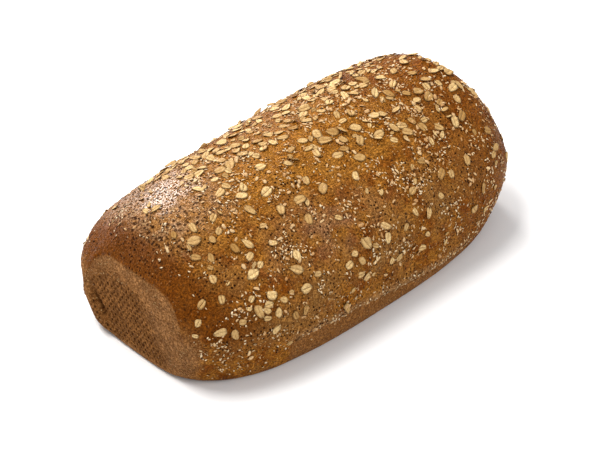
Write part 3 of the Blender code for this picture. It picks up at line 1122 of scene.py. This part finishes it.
# Painted shade: each flake's crease and rim are mixed darker.
darker = times(tree, mask_of(tree, "crease"), 0.9)
darker = calc(tree, "MAXIMUM", darker, times(tree, mask_of(tree, "rim"), 0.45))
tree.links.new(mixed(tree, darker, tint, PAINTED_FLAKE_SHADE), shader.inputs["Base Color"])
for material, pale_side, toasted_side, fleck_colour in (
    (bran_finish, colour(232, 200, 150), colour(180, 128, 72), colour(140, 92, 50)),
    (seed_finish, colour(248, 230, 194), colour(206, 164, 108), colour(152, 104, 58)),
    (grain_finish, colour(44, 23, 8), colour(98, 56, 20), colour(26, 14, 5)),
):
    tree, shader, tint = topping(material, pale_side, toasted_side, 0.55, 1200.0, fleck_colour, 0.35)
    tree.links.new(tint, shader.inputs["Base Color"])

# %% [markdown]
# ## Joining the pieces to the frame
#
# The crust and its toppings together stand for the solid loaf. All of them ride on its only body.

# %% Ride and replace
for piece, slot in (
    (crust, "crust"),
    (oat_flakes, "oats"),
    (bran_slivers, "grains"),
    (pale_seeds, "grains"),
    (dark_grains, "grains"),
):
    if not piece.data.materials:
        piece.data.materials.append(crust_finish)
    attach(piece, "root")
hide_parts("loaf")

# %% [markdown]
# ## Floor, light and camera
#
# The photo has a plain white ground with one soft shadow to the right and below. A lamp high on the left
# gives that shadow. A low one behind grazes the crown, where each flake throws a short shadow and the glaze
# shines. A broad one in front and a bright pale surrounding fill the side that faces the camera.

# %% Floor
FLOOR_HALF = 6.0
floor_corners = [(a * FLOOR_HALF, b * FLOOR_HALF, 0) for a, b in ((-1, -1), (1, -1), (1, 1), (-1, 1))]
floor_mesh = bpy.data.meshes.new("floor")
floor_mesh.from_pydata(floor_corners, [], [(0, 1, 2, 3)])
floor = new_piece("floor", floor_mesh)
floor_finish = finish("pale floor")
floor_shader = floor_finish.node_tree.nodes["Principled BSDF"]
floor_shader.inputs["Base Color"].default_value = (0.92, 0.92, 0.93, 1)
floor_shader.inputs["Roughness"].default_value = 0.9
floor_shader.inputs["Specular IOR Level"].default_value = 0.1
floor_mesh.materials.append(floor_finish)


# %% Lamps and surroundings
def lamp(name, direction, distance, size, watts, tint=(1, 1, 1)):
    """A square area lamp that looks at the loaf from a direction."""
    light = bpy.data.lights.new(name, "AREA")
    light.shape = "SQUARE"
    light.size = size
    light.energy = watts
    light.color = tint
    holder = new_piece(name, light)
    toward = Vector(direction).normalized()
    holder.location = toward * distance
    holder.rotation_euler = toward.to_track_quat("Z", "Y").to_euler()


lamp("key", (-0.20, 0.28, 0.94), 1.5, 0.65, 20.5, (1.0, 0.975, 0.94))
lamp("back", (0.32, 0.88, 0.33), 1.8, 0.50, 24.0, (1.0, 0.985, 0.96))
lamp("front", (0.34, -0.80, 0.48), 1.8, 1.20, 9.6)
world = bpy.data.worlds.new("surroundings")
world.use_nodes = True
background = world.node_tree.nodes["Background"].inputs
background["Color"].default_value = (0.97, 0.98, 0.985, 1)
background["Strength"].default_value = 0.60
bpy.context.scene.world = world
bpy.context.scene.view_settings.view_transform = "Standard"

# %% [markdown]
# ## The camera
#
# The photo was taken with a long lens, from well above the loaf and off its near end. The angles below come
# from fitting the loaf's outline. The camera looks a little past the loaf's middle, so that the loaf sits
# in the picture as it does in the photo, and no lens shift is needed.

# %% Place the camera
AZIMUTH = math.radians(-42.75)
ELEVATION = math.radians(36.5)
DISTANCE = 1.6
PIXELS_PER_RADIAN = 2536.8
IMAGE_WIDTH = 600
SENSOR = 36.0
FARTHEST = 20
ROLL = math.radians(0.79)
LOAF_MIDDLE = Vector((0, 0, 0.05))
MIDDLE_RIGHT = 1.7
MIDDLE_UP = 30.7

back = Vector((math.sin(AZIMUTH), -math.cos(AZIMUTH), math.tan(ELEVATION))) * math.cos(ELEVATION)
right = Vector((math.cos(AZIMUTH), math.sin(AZIMUTH), 0))
up = back.cross(right)
eye = LOAF_MIDDLE + back * DISTANCE
aim = LOAF_MIDDLE - (right * MIDDLE_RIGHT + up * MIDDLE_UP) * (DISTANCE / PIXELS_PER_RADIAN)
look_back = (eye - aim).normalized()
right = up.cross(look_back).normalized()
up = look_back.cross(right)
camera_right = right * math.cos(ROLL) - up * math.sin(ROLL)
camera_up = right * math.sin(ROLL) + up * math.cos(ROLL)

camera_data = bpy.data.cameras.new("camera")
camera_data.sensor_width = SENSOR
camera_data.lens = PIXELS_PER_RADIAN * SENSOR / IMAGE_WIDTH
camera_data.clip_end = FARTHEST
camera = new_piece("camera", camera_data)
turn_matrix = Matrix([camera_right, camera_up, look_back]).transposed()
camera.matrix_world = Matrix.Translation(eye) @ turn_matrix.to_4x4()
bpy.context.scene.camera = camera
print("lens, mm:", round(camera_data.lens, 1))
